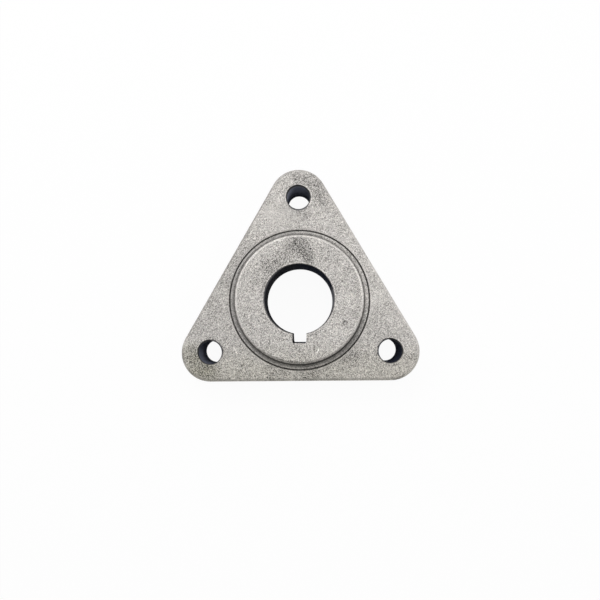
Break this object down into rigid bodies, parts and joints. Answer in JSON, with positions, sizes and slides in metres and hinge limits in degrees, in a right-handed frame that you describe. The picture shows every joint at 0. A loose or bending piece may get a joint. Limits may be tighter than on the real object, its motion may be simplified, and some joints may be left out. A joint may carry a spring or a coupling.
{
  "type": "pulley hub",
  "caption": "Flat three-cornered metal hub with a low round boss, a keyed shaft bore and bolt holes at the corners, for carrying a drive pulley on a shaft.",
  "frame": {"origin": "on the bore axis, at the flange's back face, which is the centre of the bolt circle on that face", "axes": "+Z along the bore axis toward the boss, +Y toward one corner and its bolt hole, so the keyway points at the level side toward -Y"},
  "size_m": [0.0882, 0.0792, 0.017],
  "materials": {
    "bare_iron": "bare, matt, finely grained surface"
  },
  "bodies": {
    "root": {"pulley_hub": "bare_iron"}
  },
  "joints": []
}
